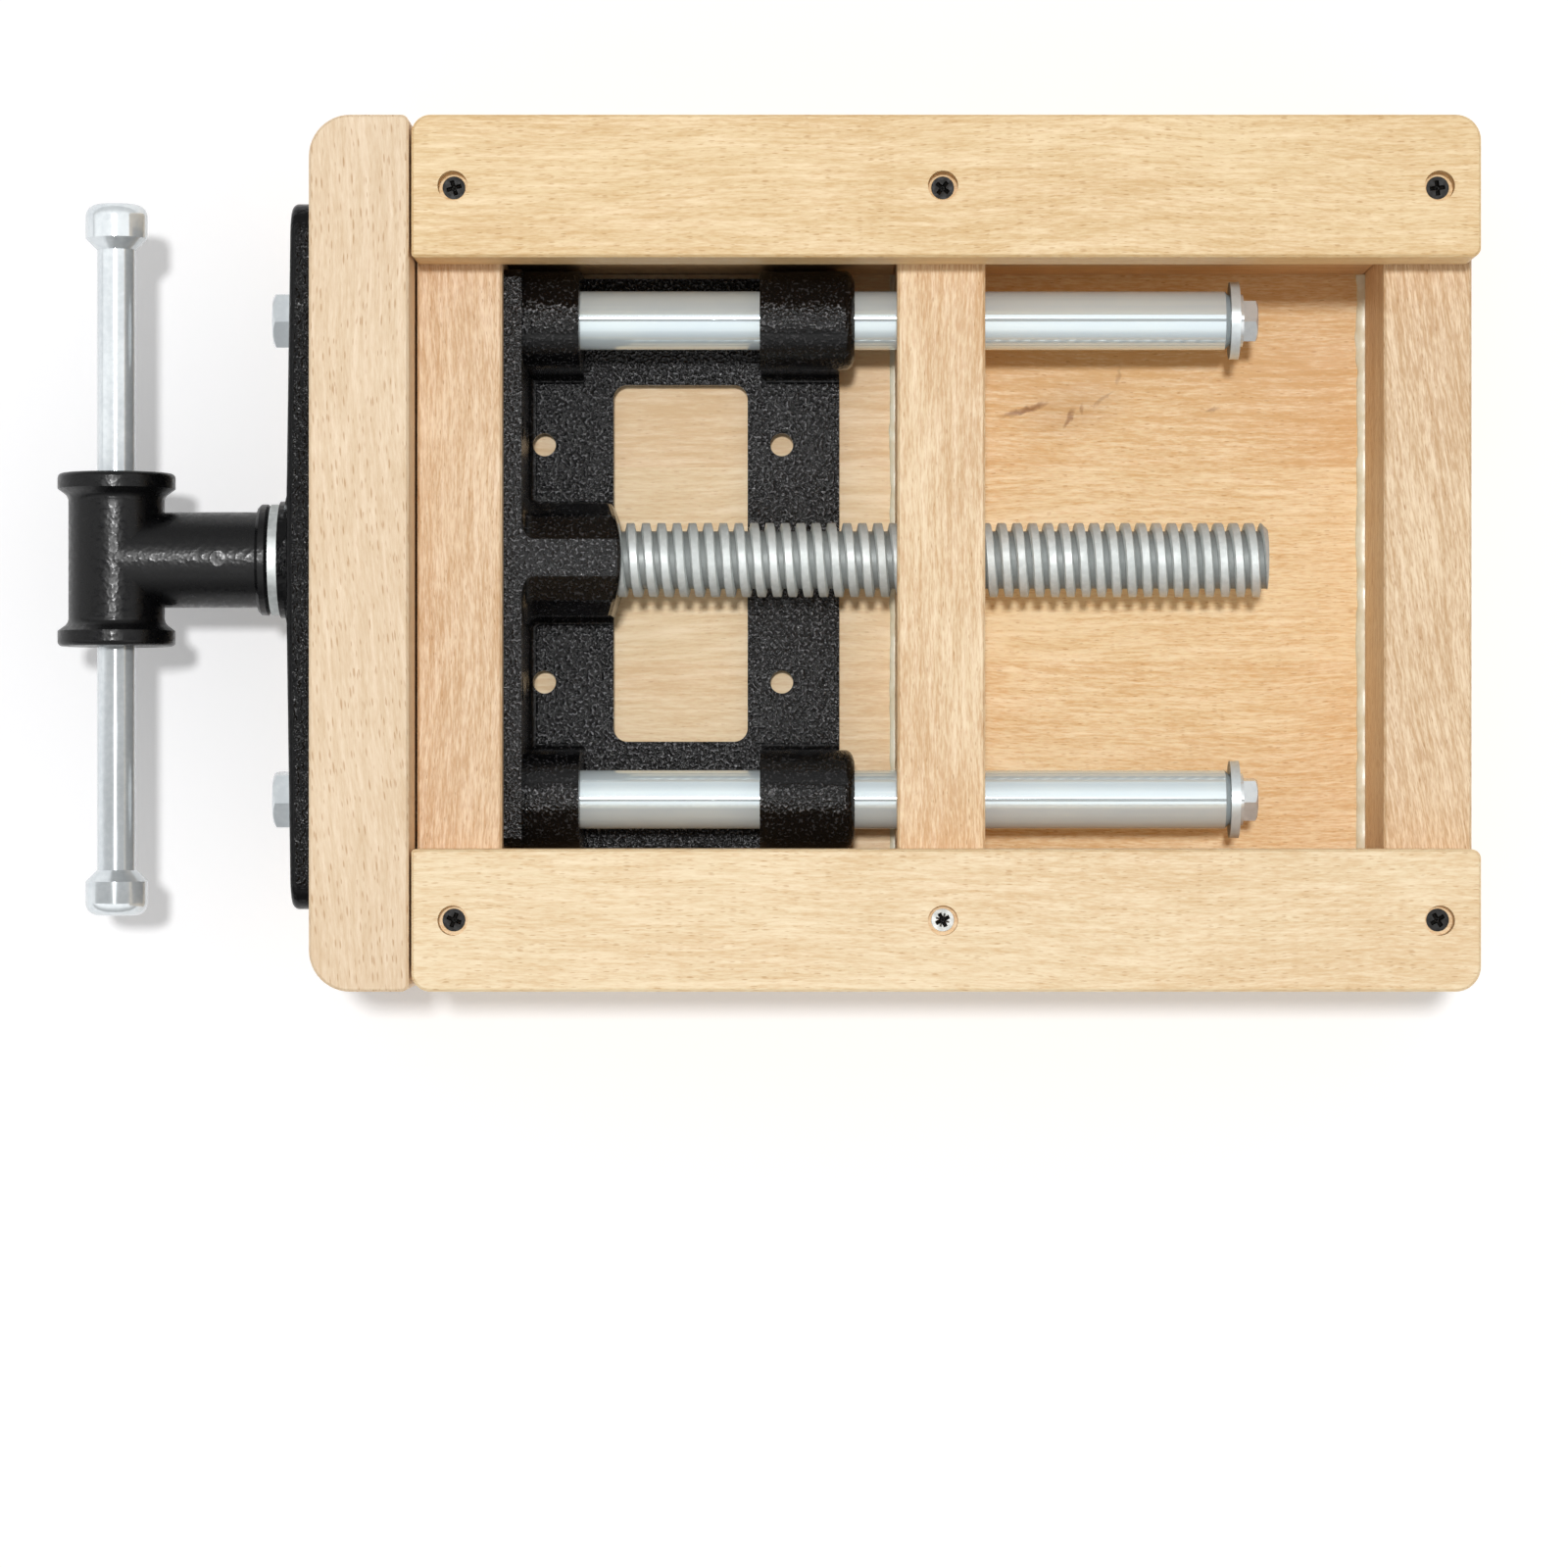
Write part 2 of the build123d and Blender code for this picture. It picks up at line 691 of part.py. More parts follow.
def lead_screw():
    """The screw: its threaded length at full diameter, and the plain shank that turns in the jaw."""
    start = jaw_plane + thread_start
    thread = rod_x(start, screw_end, screw_radius)
    thread = chamfer(thread.edges().filter_by(GeomType.CIRCLE), screw_end_chamfer)
    screw = thread + rod_x(shank_end_in_hub, start + screw_end_chamfer, shank_radius)
    screw -= ring_x(ring_start, ring_end, shank_radius + fit_clearance, groove_radius)
    pin_hole_radius = hub_pin_diameter / 2 + fit_clearance
    return screw - rod_z(axis_z - hub_radius, axis_z + hub_radius, pin_hole_radius, hub_pin_x, 0)


def screw_hub():
    """The T-shaped hub: a flanged cross tube for the handle bar and a neck over the shank."""
    half_hub = hub_width / 2
    flange_radius = hub_flange_diameter / 2
    flange_inner = half_hub - hub_flange_thickness
    half_outline = [
        (hub_radius, flange_inner - hub_flange_taper),
        (flange_radius, flange_inner),
        (flange_radius, half_hub),
        (0, half_hub),
    ]
    other_half = [(radius, -y) for radius, y in reversed(half_outline)]
    outline = make_face(Polyline(*half_outline, *other_half, close=True))
    for side in sides:
        outline = fillet(corner_at(outline, flange_radius, side * half_hub), hub_lip_radius)
        flare = corner_at(outline, hub_radius, side * (flange_inner - hub_flange_taper))
        outline = fillet(flare, hub_flare_radius)
    tube = revolve(Plane.XY * outline, Axis.Y)
    hub = Pos(hub_x, 0, axis_z) * tube
    hub += rod_x(hub_x, hub_face, hub_radius)
    collar = rod_x(hub_face - neck_collar_thickness, hub_face, neck_collar_diameter / 2)
    hub += chamfer(collar.edges().filter_by(GeomType.CIRCLE), hub_edge)
    hub -= rod_y(-half_hub, half_hub, bar_radius + sliding_clearance)
    hub -= rod_x(shank_end_in_hub - fit_clearance, hub_face, shank_radius + fit_clearance)
    pin_hole_radius = hub_pin_diameter / 2 + fit_clearance
    return hub - rod_z(axis_z - hub_radius, axis_z + hub_radius, pin_hole_radius, hub_pin_x, 0)


def hub_pin():
    half_length = hub_radius - hub_edge
    return rod_z(axis_z - half_length, axis_z + half_length, hub_pin_diameter / 2, hub_pin_x, 0)


# Handle

def handle_bar():
    half_bar = bar_length / 2 - knob_length + knob_socket_depth
    return rod_y(-half_bar, half_bar, bar_radius)


def handle_knob(side):
    """A turned knob with a blind socket on one end of the bar."""
    inner = bar_length / 2 - knob_length
    outer = bar_length / 2
    radius = knob_diameter / 2
    face_radius = radius - knob_round
    outline = Curve() + [
        Polyline((0, outer), (0, inner), (face_radius, inner), (radius, inner + knob_round)),
        Line((radius, inner + knob_round), (radius, outer - knob_round)),
        CenterArc((face_radius, outer - knob_round), knob_round, 0, 90),
        Line((face_radius, outer), (0, outer)),
    ]
    knob = Pos(hub_x, 0, axis_z) * revolve(make_face(outline), Axis.Y)
    knob -= rod_y(inner, inner + knob_socket_depth, bar_radius + fit_clearance)
    return knob if side > 0 else mirror(knob, Plane.XZ)


# Each named piece, written to its own file

front_screw_x, middle_screw_x, rear_screw_x = foot_screw_places()
right_y = -foot_rail_middle
black_foot_screws = [foot_screw(x, foot_rail_middle) for x in foot_screw_places()]
black_foot_screws += [foot_screw(x, right_y) for x in (front_screw_x, rear_screw_x)]

pieces = {
    "work_board": work_board(),
    "front_rail": with_foot_screw_holes(front_rail(), front_screw_x),
    "crossbar": with_foot_screw_holes(crossbar(), middle_screw_x),
    "rear_rail": with_foot_screw_holes(rear_rail(), rear_screw_x),
    "side_block_front_left": side_block((rail_back, crossbar_front), 1),
    "side_block_front_right": side_block((rail_back, crossbar_front), -1),
    "side_block_rear_left": side_block((crossbar_back, rear_rail_front), 1),
    "side_block_rear_right": side_block((crossbar_back, rear_rail_front), -1),
    "foot_rail_left": foot_rail(1),
    "foot_rail_right": foot_rail(-1),
    "foot_rail_screws": Compound(children=black_foot_screws),
    "foot_rail_screw_zinc": foot_screw(middle_screw_x, right_y),
    "vise_body": vise_body(),
    "flange_screws": flange_screws(),
    "jaw_block": jaw_block(),
    "front_plate": front_plate(),
    "plate_screws": plate_screws(),
    "guide_rod_left": guide_rod(1),
    "guide_rod_right": guide_rod(-1),
    "plate_bolts": along_both_rods(plate_bolt),
    "plate_bolt_washers": along_both_rods(plate_bolt_washer),
    "rod_end_washers": along_both_rods(end_washer),
    "rod_end_bolts": along_both_rods(end_bolt),
    "thrust_washer": thrust_washer(),
    "backing_washer": backing_washer(),
    "retaining_ring": retaining_ring(),
    "lead_screw": lead_screw(),
    "screw_hub": screw_hub(),
    "hub_pin": hub_pin(),
    "handle_bar": handle_bar(),
    "handle_knob_left": handle_knob(1),
    "handle_knob_right": handle_knob(-1),
}

os.makedirs("parts", exist_ok=True)
for name, piece in pieces.items():
    export_step(piece, f"parts/{name}.step")
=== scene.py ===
import math
from collections import namedtuple
import bmesh
import bpy
from mathutils import Matrix, Vector, noise


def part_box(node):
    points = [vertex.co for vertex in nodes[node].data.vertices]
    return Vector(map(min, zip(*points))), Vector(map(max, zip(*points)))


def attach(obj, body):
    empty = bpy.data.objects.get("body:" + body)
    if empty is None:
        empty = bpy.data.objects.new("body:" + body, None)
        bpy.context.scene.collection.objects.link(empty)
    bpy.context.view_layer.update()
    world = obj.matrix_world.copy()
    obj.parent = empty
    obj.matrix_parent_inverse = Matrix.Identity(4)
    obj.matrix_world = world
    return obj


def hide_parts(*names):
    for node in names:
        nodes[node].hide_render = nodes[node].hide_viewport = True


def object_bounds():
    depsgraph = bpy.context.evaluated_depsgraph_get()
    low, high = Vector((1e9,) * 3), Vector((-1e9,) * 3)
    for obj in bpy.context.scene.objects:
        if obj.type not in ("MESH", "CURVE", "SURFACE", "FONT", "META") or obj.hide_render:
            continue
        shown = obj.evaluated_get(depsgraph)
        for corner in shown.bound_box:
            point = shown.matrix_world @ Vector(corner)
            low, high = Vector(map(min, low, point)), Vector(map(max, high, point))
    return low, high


# The looks of a woodworking screw vise in a portable beech box, seen from its underside.
# The CAD pieces keep their shapes and get their finishes here. The thread of the screw, the
# recesses of the countersunk screws and the two beads of glue are built here.
# All lengths are in metres, in the frame of the CAD model.

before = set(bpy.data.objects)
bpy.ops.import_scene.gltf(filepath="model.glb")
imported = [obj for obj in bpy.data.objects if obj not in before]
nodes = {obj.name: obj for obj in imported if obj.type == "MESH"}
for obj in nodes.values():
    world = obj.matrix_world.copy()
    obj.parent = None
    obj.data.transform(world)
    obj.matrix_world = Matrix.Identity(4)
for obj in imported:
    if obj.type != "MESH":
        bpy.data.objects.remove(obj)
cad_low, cad_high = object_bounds()

# Places read from the CAD pieces
board_low, board_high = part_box("work_board")
crossbar_low, crossbar_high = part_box("crossbar")
screw_low, screw_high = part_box("lead_screw")
ring_low, ring_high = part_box("retaining_ring")
rails_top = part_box("foot_rail_left")[1].z
rear_rail_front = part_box("rear_rail")[0].x
inner_half_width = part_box("side_block_rear_left")[0].y

axis_z = (screw_low.z + screw_high.z) / 2
screw_radius = (screw_high.z - screw_low.z) / 2
millimetre = 0.001


def linear(red, green, blue):
    """The linear colour that a shader takes, from a colour as it looks on screen, from 0 to 255."""
    channels = []
    for value in (red, green, blue):
        share = value / 255
        channels.append(share / 12.92 if share <= 0.04045 else ((share + 0.055) / 1.055) ** 2.4)
    return (*channels, 1.0)


# Camera, straight above the box, where the photograph was taken from

image_pixels = 1600
sensor_width_mm = 36
camera_over_rails = 1.7
pixels_per_metre_on_rails = 3250
under_camera = (-0.0377, -0.0725)
pixel_under_camera = (843, 800)

camera_data = bpy.data.cameras.new("camera")
camera_data.sensor_width = sensor_width_mm
camera_data.lens = pixels_per_metre_on_rails * camera_over_rails / image_pixels * sensor_width_mm
camera_data.shift_x = (image_pixels / 2 - pixel_under_camera[0]) / image_pixels
camera_data.shift_y = (pixel_under_camera[1] - image_pixels / 2) / image_pixels
camera_data.clip_end = 20
camera = bpy.data.objects.new("camera", camera_data)
camera.location = (*under_camera, rails_top + camera_over_rails)
bpy.context.scene.collection.objects.link(camera)
bpy.context.scene.camera = camera
bpy.context.scene.view_settings.view_transform = "Standard"


# Node helpers

class Graph:
    """Adds nodes to one node tree. An input is a number, a colour or the output of another node."""

    def __init__(self, tree):
        self.tree = tree

    def feed(self, socket, value):
        if isinstance(value, bpy.types.NodeSocket):
            self.tree.links.new(value, socket)
        else:
            socket.default_value = value

    def node(self, kind, inputs, **settings):
        made = self.tree.nodes.new("ShaderNode" + kind)
        for name, value in settings.items():
            setattr(made, name, value)
        for name, value in inputs.items():
            self.feed(made.inputs[name], value)
        return made

    def math(self, operation, *values):
        return self.node("Math", dict(enumerate(values)), operation=operation).outputs[0]

    def vector(self, operation, *values):
        return self.node("VectorMath", dict(enumerate(values)), operation=operation).outputs[0]

    def part(self, vector, axis):
        """The part of a vector along X, Y or Z."""
        return self.node("SeparateXYZ", {"Vector": vector}).outputs[axis]

    def length(self, vector):
        return self.node("VectorMath", {0: vector}, operation="LENGTH").outputs["Value"]

    def turned_back(self, vector, degrees):
        """A vector as a frame sees it that is turned about Z by this angle."""
        rotation = (0, 0, -math.radians(degrees))
        return self.node("Mapping", {"Vector": vector, "Rotation": rotation}).outputs["Vector"]

    def between(self, value, low, high, new_low=0.0, new_high=1.0):
        """Turns the range from low to high smoothly into the range from new_low to new_high."""
        old_range = {"Value": value, "From Min": low, "From Max": high}
        new_range = {"To Min": new_low, "To Max": new_high}
        made = self.node("MapRange", {**old_range, **new_range}, interpolation_type="SMOOTHSTEP")
        return made.outputs["Result"]

    def mix(self, share, first, second, blend_type="MIX"):
        inputs = {"Fac": share, "Color1": first, "Color2": second}
        return self.node("MixRGB", inputs, blend_type=blend_type).outputs["Color"]

    def tinted(self, colour, red, green, blue):
        """A colour whose channels are each multiplied by a share."""
        return self.mix(1.0, colour, (red, green, blue, 1), "MULTIPLY")


class Finish(Graph):
    """A material of one Principled shader, whose inputs are fed from a graph.

    The place is where a point lies in the frame of the CAD model. The point is the same place,
    moved by the seed, so that two finishes of one kind differ."""

    def __init__(self, name, seed=0):
        self.material = bpy.data.materials.new(name)
        self.material.use_nodes = True
        super().__init__(self.material.node_tree)
        self.shader = self.tree.nodes["Principled BSDF"]
        coordinates = self.node("TexCoord", {}).outputs
        self.place = coordinates["Object"]
        self.normal = coordinates["Normal"]
        shift = (0.37 * seed, 0.61 * seed, 0.83 * seed)
        self.point = self.vector("ADD", self.place, shift)

    def stretched(self, point, along, across):
        """Stretches a point so that a pattern of size 1 repeats this many times in a metre."""
        return self.vector("MULTIPLY", point, (along, across, across))

    def noise(self, point, along, across, detail=2.0, roughness=0.5):
        """Smooth noise whose grains repeat this many times in a metre along X and across it."""
        stretched = self.stretched(point, along, across)
        inputs = {"Vector": stretched, "Scale": 1.0, "Detail": detail, "Roughness": roughness}
        return self.node("TexNoise", inputs).outputs

    def tone(self, point, along, across, detail=2.0, roughness=0.5):
        """The same noise as one value about a half."""
        return self.noise(point, along, across, detail, roughness)["Fac"]

    def wandering(self, point, grains_per_metre, reach):
        """A point moved by smooth noise, by up to half the reach each way."""
        random = self.noise(point, grains_per_metre, grains_per_metre)["Color"]
        about_zero = self.vector("SUBTRACT", random, (0.5, 0.5, 0.5))
        return self.vector("ADD", point, self.vector("MULTIPLY", about_zero, reach))

    def about_zero(self, value, strength):
        """Moves a value that lies about a half to lie about zero, with a given strength."""
        return self.math("MULTIPLY", self.math("SUBTRACT", value, 0.5), strength)

    def total(self, *values):
        result = values[0]
        for value in values[1:]:
            result = self.math("ADD", result, value)
        return result

    def bump(self, height, distance, strength):
        inputs = {"Height": height, "Distance": distance, "Strength": strength}
        return self.node("Bump", inputs).outputs["Normal"]

    def set(self, **inputs):
        for name, value in inputs.items():
            self.feed(self.shader.inputs[name.replace("_", " ")], value)
        return self.material


# Beech

def stave_tones(wood, stave_width, seed):
    """A random value from 0 to 1 for each of the staves that a board is glued up from."""
    widths = wood.math("DIVIDE", wood.part(wood.place, "Y"), stave_width)
    stave = wood.math("FLOOR", wood.math("ADD", widths, 0.5))
    number = wood.math("ADD", stave, seed)
    return wood.node("TexWhiteNoise", {"W": number}, noise_dimensions="1D").outputs["Value"]


def ray_flecks(wood, line, length, width, share):
    """Short dark flecks along the grain: 1 in a fleck and 0 outside. Most cells have none."""
    radius_in_cell = 0.42
    cells_along = 2 * radius_in_cell / length
    cells_across = 2 * radius_in_cell / width
    in_cells = wood.stretched(line, cells_along, cells_across)
    cells = wood.node("TexVoronoi", {"Vector": in_cells, "Scale": 1.0}).outputs
    random = wood.node("SeparateColor", {"Color": cells["Color"]}).outputs
    chosen = wood.between(random[0], 1 - share, 1 - 0.8 * share)
    radius = wood.between(random[1], 0, 1, 0.6 * radius_in_cell, 1.2 * radius_in_cell)
    inner_radius = wood.math("MULTIPLY", radius, 0.4)
    inside = wood.between(cells["Distance"], inner_radius, radius, 1, 0)
    return wood.math("MULTIPLY", inside, chosen)


def knot_cracks(wood, cracks):
    """Thin dark cracks round a small knot: how dark a place is, from 0 to 1.

    Each crack has an X, a Y, a length and a width in millimetres, an angle from X in degrees and
    its darkness."""
    bent = wood.wandering(wood.place, 260, (4 * millimetre, 4 * millimetre, 0))
    dark = 0.0
    for x, y, length, width, degrees, darkness in cracks:
        from_middle = wood.vector("SUBTRACT", bent, (x * millimetre, y * millimetre, 0))
        shares_per_metre = (2 / length / millimetre, 2 / width / millimetre, 0)
        ellipse = wood.vector("MULTIPLY", wood.turned_back(from_middle, degrees), shares_per_metre)
        crack = wood.between(wood.length(ellipse), 0.2, 1.0, darkness, 0)
        dark = wood.math("MAXIMUM", dark, crack)
    return dark


def painted_light_in_front(wood, colour, limit):
    """Painted light: the colour, a little paler in front of an X, with a short fade, to lift the
    shade round the casting.
    """
    fade_length = 30 * millimetre
    share = wood.between(wood.part(wood.place, "X"), limit - fade_length, limit, 0.4, 0)
    return wood.mix(share, colour, linear(255, 228, 190))


def darker_end_grain(wood, colour, grain_degrees):
    """The colour, a little darker on the faces that lie across the grain."""
    facing = wood.part(wood.turned_back(wood.normal, grain_degrees), "X")
    end_grain = wood.between(wood.math("ABSOLUTE", facing), 0.75, 0.95)
    return wood.mix(end_grain, colour, wood.tinted(colour, 0.86, 0.80, 0.72))


def beech(
    name, grain_degrees, pale, deep, seed,
    flecks=(2.2, 0.4, 0.07), fleck_tone=0.72, figure=(1.2, 1.1, 1.9),
    stave_width=None, knot=None, painted_light_before=None
):
    """Beech: fine short streaks along the grain, soft clouds of tone and dark ray flecks.

    The grain runs along X at 0 degrees and along Y at 90. The flecks are given by their length and
    width in millimetres and the share of cells that have one. The figure is the strength of the
    clouds, the streaks and the pores. A knot is given by its cracks. A board may get painted light,
    a paler colour before a given X, towards its front."""
    wood = Finish(name, seed)
    point = wood.turned_back(wood.point, grain_degrees)
    stave_tone = 0.5
    if stave_width:
        stave_tone = stave_tones(wood, stave_width, seed)
        longest_slide = 3
        slide = wood.math("MULTIPLY", stave_tone, longest_slide)
        along_grain = wood.node("CombineXYZ", {"X": slide}).outputs[0]
        point = wood.vector("ADD", point, along_grain)

    line = wood.wandering(point, 6, (0, 14 * millimetre, 14 * millimetre))
    cloud = wood.tone(line, 8, 26, 3, 0.6)
    streak = wood.tone(line, 38, 580, 4, 0.65)
    pore = wood.tone(line, 240, 1700, 2, 0.6)
    cloud_strength, streak_strength, pore_strength = figure
    depth = wood.total(
        wood.about_zero(cloud, cloud_strength),
        wood.about_zero(streak, streak_strength),
        wood.about_zero(pore, pore_strength),
        wood.about_zero(stave_tone, 0.6),
    )
    colour = wood.mix(wood.between(depth, -0.65, 0.65), pale, deep)

    length, width, share = flecks
    fleck = ray_flecks(wood, line, length * millimetre, width * millimetre, share)
    darker = wood.tinted(colour, fleck_tone, 0.85 * fleck_tone, 0.7 * fleck_tone)
    colour = wood.mix(fleck, colour, darker)
    # Painted light: the board is paler in front of the given X.
    if painted_light_before is not None:
        colour = painted_light_in_front(wood, colour, painted_light_before)
    if knot:
        knot_brown = linear(150, 96, 28)
        colour = wood.mix(knot_cracks(wood, knot), colour, knot_brown)
    height = wood.total(wood.math("MULTIPLY", streak, 0.6), wood.math("MULTIPLY", fleck, -0.3))
    return wood.set(
        Base_Color=darker_end_grain(wood, colour, grain_degrees),
        Roughness=wood.between(streak, 0.3, 0.7, 0.42, 0.58),
        Normal=wood.bump(height, 0.12 * millimetre, 0.5),
    )


strong_figure = (1.5, 1.4, 2.5)
foot_rail_look = {"flecks": (2.8, 0.38, 0.26), "fleck_tone": 0.76, "figure": (1.4, 1.1, 2.1)}
board_knot = (
    (28, 51, 24, 2.8, 17, 0.9),
    (42.5, 48.5, 11, 2.8, 62, 0.8),
    (46.7, 51.5, 7, 2.8, 100, 0.6),
    (53.5, 54.3, 13, 2.2, 36, 0.5),
    (58.6, 62, 9, 2.2, 75, 0.4),
    (90, 51, 7, 2.2, 5, 0.6),
    (43, 51, 48, 24, 12, 0.2),
)
board_wood = beech(
    "beech_board", 0, linear(255, 228, 178), linear(232, 185, 122), seed=1,
    flecks=(2.2, 0.4, 0.14), fleck_tone=0.78, figure=(1.3, 1.2, 2.1),
    stave_width=64 * millimetre, knot=board_knot, painted_light_before=crossbar_high.x
)
front_rail_wood = beech(
    "beech_front_rail", 90, linear(248, 220, 182), linear(216, 174, 128),
    seed=2, figure=strong_figure
)
cross_rail_wood = beech(
    "beech_cross_rail", 90, linear(252, 226, 185), linear(222, 180, 132),
    seed=3, figure=strong_figure
)
rear_rail_wood = beech(
    "beech_rear_rail", 98, linear(250, 223, 184), linear(212, 172, 126),
    seed=7, figure=strong_figure
)
left_foot_rail_wood = beech(
    "beech_foot_rail_left", 0, linear(252, 224, 174), linear(230, 190, 132),
    seed=4, **foot_rail_look
)
right_foot_rail_wood = beech(
    "beech_foot_rail_right", 0, linear(255, 232, 190), linear(236, 199, 148),
    seed=8, **foot_rail_look
)
jaw_wood = beech(
    "beech_jaw", 94, linear(250, 226, 192), linear(230, 198, 158), seed=5,
    flecks=(4.2, 0.65, 0.5), fleck_tone=0.74, figure=(0.9, 0.7, 1.5)
)
# Painted shade: the side blocks are much darker than the other beech, for the shade that their
# inner faces lie in.
side_block_wood_painted_shade = beech(
    "beech_side_block_painted_shade", 0, linear(226, 188, 142), linear(190, 144, 96), seed=6
)


# Black paint on the castings

def casting_paint(name, grains_per_metre, relief, roughness, painted_glint_tone, mirroring):
    """Thick black paint: a fine pebbled skin, glossy on the pebbles and dull between, with painted
    highlights: the tops of the pebbles are coloured grey as glints.

    The skin is coarser, and the painted highlights show more, on the faces that lie across X or Z
    than on the steep sides. The last value is how strongly the paint mirrors its surroundings,
    where 0.5 is usual for paint."""
    paint = Finish(name)
    pebbles = paint.tone(paint.point, grains_per_metre, grains_per_metre, 1, 0.5)
    swells = paint.tone(paint.point, 240, 240)
    shade = paint.tone(paint.point, 30, 30)
    across_x = paint.math("ABSOLUTE", paint.part(paint.normal, "X"))
    across_z = paint.math("ABSOLUTE", paint.part(paint.normal, "Z"))
    coarse = paint.between(paint.math("MAXIMUM", across_x, across_z), 0.93, 0.995, 0.2, 1.0)
    relief_share = paint.total(pebbles, paint.math("MULTIPLY", swells, 0.6))
    # Painted highlights: the tops of the pebbles are coloured grey as glints.
    painted_glints = paint.math("MULTIPLY", paint.between(pebbles, 0.54, 0.72), coarse)
    painted_glint_grey = linear(painted_glint_tone, painted_glint_tone, painted_glint_tone + 3)
    black = paint.mix(painted_glints, linear(7, 7, 8), painted_glint_grey)
    black = paint.mix(paint.between(shade, 0.3, 0.7, 0.0, 0.3), black, linear(12, 12, 13))
    return paint.set(
        Base_Color=black,
        Specular_IOR_Level=mirroring,
        Roughness=paint.between(pebbles, 0.40, 0.65, 1.5 * roughness, roughness),
        Normal=paint.bump(paint.math("MULTIPLY", relief_share, coarse), relief, 1.0),
    )


body_casting = casting_paint(
    "black_casting", grains_per_metre=1000, relief=0.9 * millimetre,
    roughness=0.16, painted_glint_tone=132, mirroring=0.34
)
plate_casting = casting_paint(
    "black_plate", grains_per_metre=800, relief=0.9 * millimetre,
    roughness=0.15, painted_glint_tone=32, mirroring=0.18
)
hub_casting = casting_paint(
    "black_hub", grains_per_metre=520, relief=0.16 * millimetre,
    roughness=0.24, painted_glint_tone=24, mirroring=0.31
)


# Steel and glue

def bright_steel(name, tint, shadow_tint, metal, roughness, drawn=False, painted_shade_places=None):
    """Plated steel with fine lines from drawing or turning and a slight change of tint.

    The last value may be a function that says how much of a place is darkened by painted shade."""
    steel = Finish(name)
    along, across = (6, 900) if drawn else (500, 500)
    lines = steel.tone(steel.point, along, across, 3)
    clouds = steel.tone(steel.point, 45, 45, 3)
    share = steel.between(steel.math("ADD", lines, clouds), 0.75, 1.25)
    colour = steel.mix(share, (*tint, 1), (*shadow_tint, 1))
    if painted_shade_places:
        # Painted shade: the places that the function gives are coloured dark grey.
        painted_shade_grey = linear(104, 108, 107)
        colour = steel.mix(painted_shade_places(steel), colour, painted_shade_grey)
    return steel.set(
        Base_Color=colour,
        Metallic=metal,
        Roughness=steel.between(clouds, 0.3, 0.7, roughness * 0.8, roughness * 1.25),
        Normal=steel.bump(lines, 0.02 * millimetre, 0.3),
    )


def painted_shade_on_inner_face(steel):
    """Painted shade on the faces that look to the front, where a rod bears on its end washer."""
    return steel.between(steel.part(steel.normal, "X"), -0.98, -0.8, 0.95, 0.0)


def black_steel():
    """Steel blackened in a hot salt bath, a little uneven."""
    steel = Finish("blackened_steel")
    clouds = steel.tone(steel.point, 700, 700, 3)
    share = steel.between(clouds, 0.3, 0.7)
    return steel.set(
        Base_Color=steel.mix(share, linear(12, 12, 12), linear(30, 29, 28)),
        Metallic=0.3,
        Specular_IOR_Level=0.2,
        Roughness=steel.between(clouds, 0.3, 0.7, 0.36, 0.52),
        Normal=steel.bump(clouds, 0.03 * millimetre, 0.4),
    )


def dried_glue():
    """Milky glue that was squeezed out of a joint and wiped."""
    glue = Finish("dried_glue")
    clouds = glue.tone(glue.point, 160, 160, 3)
    share = glue.between(clouds, 0.3, 0.7)
    return glue.set(
        Base_Color=glue.mix(share, linear(246, 244, 222), linear(228, 218, 186)),
        Roughness=glue.between(clouds, 0.3, 0.7, 0.25, 0.45),
        Normal=glue.bump(clouds, 0.3 * millimetre, 0.5),
    )


rod_chrome = bright_steel(
    "chromed_rods", (0.86, 0.97, 1.0), (0.80, 0.92, 0.98), metal=0.37, roughness=0.045, drawn=True
)
chrome = bright_steel(
    "chromed_steel", (0.84, 0.89, 0.91), (0.74, 0.79, 0.82), metal=0.45, roughness=0.14
)
zinc = bright_steel(
    "zinc_steel", (0.72, 0.75, 0.74), (0.56, 0.59, 0.58), metal=0.75, roughness=0.48
)
zinc_screw = bright_steel(
    "zinc_screw", (0.54, 0.56, 0.55), (0.36, 0.38, 0.37), metal=0.5, roughness=0.42
)
# The washers' faces towards the rods get painted shade.
end_washer_steel = bright_steel(
    "washer_steel", (0.76, 0.84, 0.87), (0.68, 0.75, 0.78), metal=0.35, roughness=0.4,
    painted_shade_places=painted_shade_on_inner_face
)
blackened = black_steel()
bead_glue = dried_glue()


# The finish of each CAD piece that stays

finishes = {
    "work_board": board_wood,
    "front_rail": front_rail_wood,
    "crossbar": cross_rail_wood,
    "rear_rail": rear_rail_wood,
    "side_block_front_left": side_block_wood_painted_shade,
    "side_block_front_right": side_block_wood_painted_shade,
    "side_block_rear_left": side_block_wood_painted_shade,
    "side_block_rear_right": side_block_wood_painted_shade,
    "foot_rail_left": left_foot_rail_wood,
    "foot_rail_right": right_foot_rail_wood,
    "vise_body": body_casting,
    "jaw_block": jaw_wood,
    "front_plate": plate_casting,
    "guide_rod_left": rod_chrome,
    "guide_rod_right": rod_chrome,
    "plate_bolts": chrome,
    "plate_bolt_washers": chrome,
    "rod_end_washers": end_washer_steel,
    "rod_end_bolts": chrome,
    "thrust_washer": zinc,
    "backing_washer": zinc,
    "retaining_ring": blackened,
    "screw_hub": hub_casting,
    "hub_pin": hub_casting,
    "handle_bar": chrome,
    "handle_knob_left": chrome,
    "handle_knob_right": chrome,
}

for name, finish in finishes.items():
    for slot in nodes[name].material_slots:
        slot.material = finish


# Pieces built here

